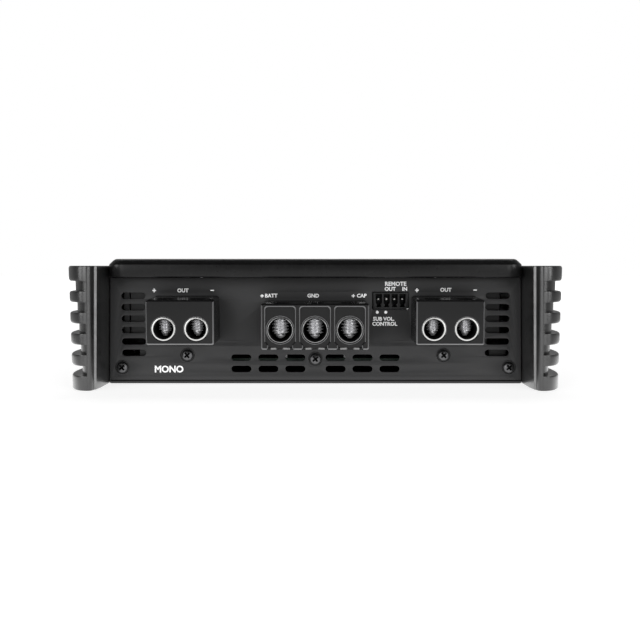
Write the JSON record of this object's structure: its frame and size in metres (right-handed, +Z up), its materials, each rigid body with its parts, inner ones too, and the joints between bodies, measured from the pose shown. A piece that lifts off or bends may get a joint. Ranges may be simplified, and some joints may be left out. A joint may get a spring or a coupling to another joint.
{
  "type": "car audio amplifier",
  "caption": "Mono car amplifier with finned side heat sinks, screw-clamp power and speaker terminals and rear signal controls.",
  "frame": {"origin": "centre of the footprint, on the mounting face under the heat sinks", "axes": "+X to the right seen from the terminal end, +Y from the terminal end to the signal end, +Z up"},
  "size_m": [0.2336, 0.36, 0.0602],
  "materials": {
    "cast_black": "black satin powder coat",
    "cover_black": "black textured powder coat",
    "panel_black": "dark grey satin",
    "black_screw": "black zinc",
    "block_black": "semi-gloss",
    "nickel": "bright nickel",
    "steel": "bright",
    "gold": "polished",
    "knob_grey": "satin",
    "lens_red": "clear",
    "board_green": "solder mask",
    "copper": "enamelled wire",
    "can_blue": "sleeved",
    "bar_aluminium": "mill finish"
  },
  "bodies": {
    "amplifier": {"battery_clamp": "nickel", "block_screw_left": "black_screw", "block_screw_power": "black_screw", "block_screw_right": "black_screw", "bottom_plate": "panel_black", "capacitor_clamp": "nickel", "control_block": "block_black", "corner_screw_left": "black_screw", "corner_screw_right": "black_screw", "device_bar_left": "bar_aluminium", "device_bar_right": "bar_aluminium", "fan_frame": "block_black", "front_panel": "panel_black", "ground_clamp": "nickel", "header_pin_1": "gold", "header_pin_2": "gold", "header_pin_3": "gold", "header_pin_4": "gold", "heatsink_left": "cast_black", "heatsink_right": "cast_black", "left_minus_clamp": "nickel", "left_plus_clamp": "nickel", "main_board": "board_green", "output_choke": "copper", "power_block": "block_black", "power_transformer": "copper", "rca_block": "block_black", "rca_shell_left": "nickel", "rca_shell_right": "nickel", "rear_panel": "panel_black", "rear_screw_left": "black_screw", "rear_screw_right": "black_screw", "remote_header": "block_black", "reservoir_capacitor_1": "can_blue", "reservoir_capacitor_2": "can_blue", "right_minus_clamp": "nickel", "right_plus_clamp": "nickel", "speaker_block_left": "block_black", "speaker_block_right": "block_black", "status_lens": "lens_red", "top_cover": "cover_black"},
    "left_plus_foot": {"left_plus_foot": "steel"},
    "left_plus_screw": {"left_plus_set_screw": "steel"},
    "left_minus_foot": {"left_minus_foot": "steel"},
    "left_minus_screw": {"left_minus_set_screw": "steel"},
    "right_plus_foot": {"right_plus_foot": "steel"},
    "right_plus_screw": {"right_plus_set_screw": "steel"},
    "right_minus_foot": {"right_minus_foot": "steel"},
    "right_minus_screw": {"right_minus_set_screw": "steel"},
    "battery_foot": {"battery_foot": "steel"},
    "battery_screw": {"battery_set_screw": "steel"},
    "ground_foot": {"ground_foot": "steel"},
    "ground_screw": {"ground_set_screw": "steel"},
    "capacitor_foot": {"capacitor_foot": "steel"},
    "capacitor_screw": {"capacitor_set_screw": "steel"},
    "level_knob": {"level_knob": "knob_grey"},
    "low_pass_knob": {"low_pass_knob": "knob_grey"},
    "bass_knob": {"bass_knob": "knob_grey"},
    "phase_switch": {"phase_switch": "knob_grey"},
    "fan_rotor": {"fan_rotor": "block_black"}
  },
  "joints": [
    {"name": "left_plus_press", "type": "slide", "parent": "amplifier", "child": "left_plus_foot", "axis": [0, 0, 1], "range_m": [0, 0.007]},
    {"name": "left_plus_turn", "type": "hinge", "parent": "left_plus_foot", "child": "left_plus_screw", "pos_m": [-0.0695, -0.1702, 0.028], "axis": [0, 0, 1], "range_deg": [0, 2016.5]},
    {"name": "left_minus_press", "type": "slide", "parent": "amplifier", "child": "left_minus_foot", "axis": [0, 0, 1], "range_m": [0, 0.007]},
    {"name": "left_minus_turn", "type": "hinge", "parent": "left_minus_foot", "child": "left_minus_screw", "pos_m": [-0.0545, -0.1702, 0.028], "axis": [0, 0, 1], "range_deg": [0, 2016.5]},
    {"name": "right_plus_press", "type": "slide", "parent": "amplifier", "child": "right_plus_foot", "axis": [0, 0, 1], "range_m": [0, 0.007]},
    {"name": "right_plus_turn", "type": "hinge", "parent": "right_plus_foot", "child": "right_plus_screw", "pos_m": [0.0545, -0.1702, 0.028], "axis": [0, 0, 1], "range_deg": [0, 2016.5]},
    {"name": "right_minus_press", "type": "slide", "parent": "amplifier", "child": "right_minus_foot", "axis": [0, 0, 1], "range_m": [0, 0.007]},
    {"name": "right_minus_turn", "type": "hinge", "parent": "right_minus_foot", "child": "right_minus_screw", "pos_m": [0.0695, -0.1702, 0.028], "axis": [0, 0, 1], "range_deg": [0, 2016.5]},
    {"name": "battery_press", "type": "slide", "parent": "amplifier", "child": "battery_foot", "axis": [0, 0, 1], "range_m": [0, 0.009]},
    {"name": "battery_turn", "type": "hinge", "parent": "battery_foot", "child": "battery_screw", "pos_m": [-0.016, -0.1702, 0.0275], "axis": [0, 0, 1], "range_deg": [0, 2160.5]},
    {"name": "ground_press", "type": "slide", "parent": "amplifier", "child": "ground_foot", "axis": [0, 0, 1], "range_m": [0, 0.009]},
    {"name": "ground_turn", "type": "hinge", "parent": "ground_foot", "child": "ground_screw", "pos_m": [0, -0.1702, 0.0275], "axis": [0, 0, 1], "range_deg": [0, 2160.5]},
    {"name": "capacitor_press", "type": "slide", "parent": "amplifier", "child": "capacitor_foot", "axis": [0, 0, 1], "range_m": [0, 0.009]},
    {"name": "capacitor_turn", "type": "hinge", "parent": "capacitor_foot", "child": "capacitor_screw", "pos_m": [0.016, -0.1702, 0.0275], "axis": [0, 0, 1], "range_deg": [0, 2160.5]},
    {"name": "level_knob_turn", "type": "hinge", "parent": "amplifier", "child": "level_knob", "pos_m": [-0.026, 0.155, 0.0297], "axis": [0, 1, 0], "range_deg": [-150, 150]},
    {"name": "low_pass_knob_turn", "type": "hinge", "parent": "amplifier", "child": "low_pass_knob", "pos_m": [-0.008, 0.155, 0.0297], "axis": [0, 1, 0], "range_deg": [-150, 150]},
    {"name": "bass_knob_turn", "type": "hinge", "parent": "amplifier", "child": "bass_knob", "pos_m": [0.01, 0.155, 0.0297], "axis": [0, 1, 0], "range_deg": [-150, 150]},
    {"name": "phase_switch_slide", "type": "slide", "parent": "amplifier", "child": "phase_switch", "axis": [1, 0, 0], "range_m": [0, 0.003]},
    {"name": "fan_spin", "type": "hinge", "parent": "amplifier", "child": "fan_rotor", "pos_m": [0.072, 0.148, 0.0307], "axis": [0, 1, 0], "continuous": true}
  ],
  "couplings": [
    {"joint": "left_plus_turn", "follows": "left_plus_press", "rad_per_m": 5026.5},
    {"joint": "left_minus_turn", "follows": "left_minus_press", "rad_per_m": 5026.5},
    {"joint": "right_plus_turn", "follows": "right_plus_press", "rad_per_m": 5026.5},
    {"joint": "right_minus_turn", "follows": "right_minus_press", "rad_per_m": 5026.5},
    {"joint": "battery_turn", "follows": "battery_press", "rad_per_m": 4188.8},
    {"joint": "ground_turn", "follows": "ground_press", "rad_per_m": 4188.8},
    {"joint": "capacitor_turn", "follows": "capacitor_press", "rad_per_m": 4188.8}
  ]
}
